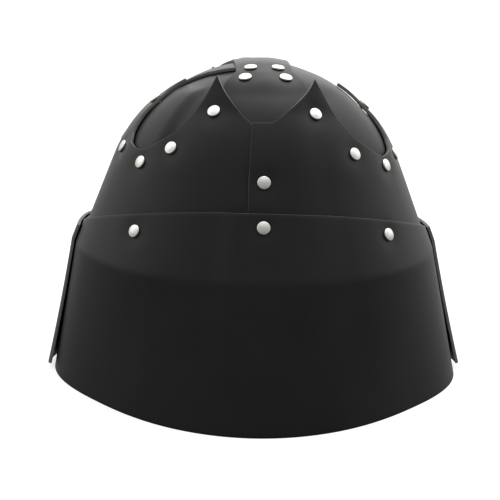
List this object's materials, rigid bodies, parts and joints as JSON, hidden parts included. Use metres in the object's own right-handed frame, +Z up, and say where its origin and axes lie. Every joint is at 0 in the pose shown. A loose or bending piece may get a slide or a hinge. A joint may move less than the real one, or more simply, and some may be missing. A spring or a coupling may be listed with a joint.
{
  "type": "leather barbute helmet",
  "caption": "Open-faced barbute of riveted black leather: crossed crown straps, pointed skull band, flared neck guard and cheek plates with a T opening.",
  "frame": {"origin": "on the surface that the hem rests on, at the middle of the helmet's bounding box", "axes": "+Z up through the crown, the face opening towards -Y, the neck guard towards +Y, the wearer's left cheek towards +X"},
  "size_m": [0.2856, 0.2958, 0.2137],
  "materials": {
    "leather": "satin black, smooth grain, cut edges a little lighter",
    "rivet": "bright nickel plate"
  },
  "bodies": {
    "root": {"skull_band": "leather", "strap_lowest": "leather", "strap_middle": "leather", "strap_top": "leather", "neck_guard": "leather", "cheek_plate_left": "leather", "cheek_plate_right": "leather", "rivet_cheek_left_1": "rivet", "rivet_cheek_left_2": "rivet", "rivet_cheek_right_1": "rivet", "rivet_cheek_right_2": "rivet", "rivet_crown_1": "rivet", "rivet_crown_2": "rivet", "rivet_crown_3": "rivet", "rivet_crown_4": "rivet", "rivet_crown_5": "rivet", "rivet_crown_6": "rivet", "rivet_crown_7": "rivet", "rivet_crown_8": "rivet", "rivet_flank_1": "rivet", "rivet_flank_2": "rivet", "rivet_flank_3": "rivet", "rivet_flank_4": "rivet", "rivet_petal_1": "rivet", "rivet_petal_2": "rivet", "rivet_petal_3": "rivet", "rivet_petal_4": "rivet", "rivet_side_1": "rivet", "rivet_side_2": "rivet", "rivet_side_3": "rivet", "rivet_side_4": "rivet", "rivet_valley_1": "rivet", "rivet_valley_2": "rivet", "rivet_valley_3": "rivet", "rivet_valley_4": "rivet", "rivet_neck_centre": "rivet", "rivet_neck_left": "rivet", "rivet_neck_right": "rivet", "rivet_seam": "rivet", "rivet_side_petal_1": "rivet", "rivet_side_petal_2": "rivet"}
  },
  "joints": []
}
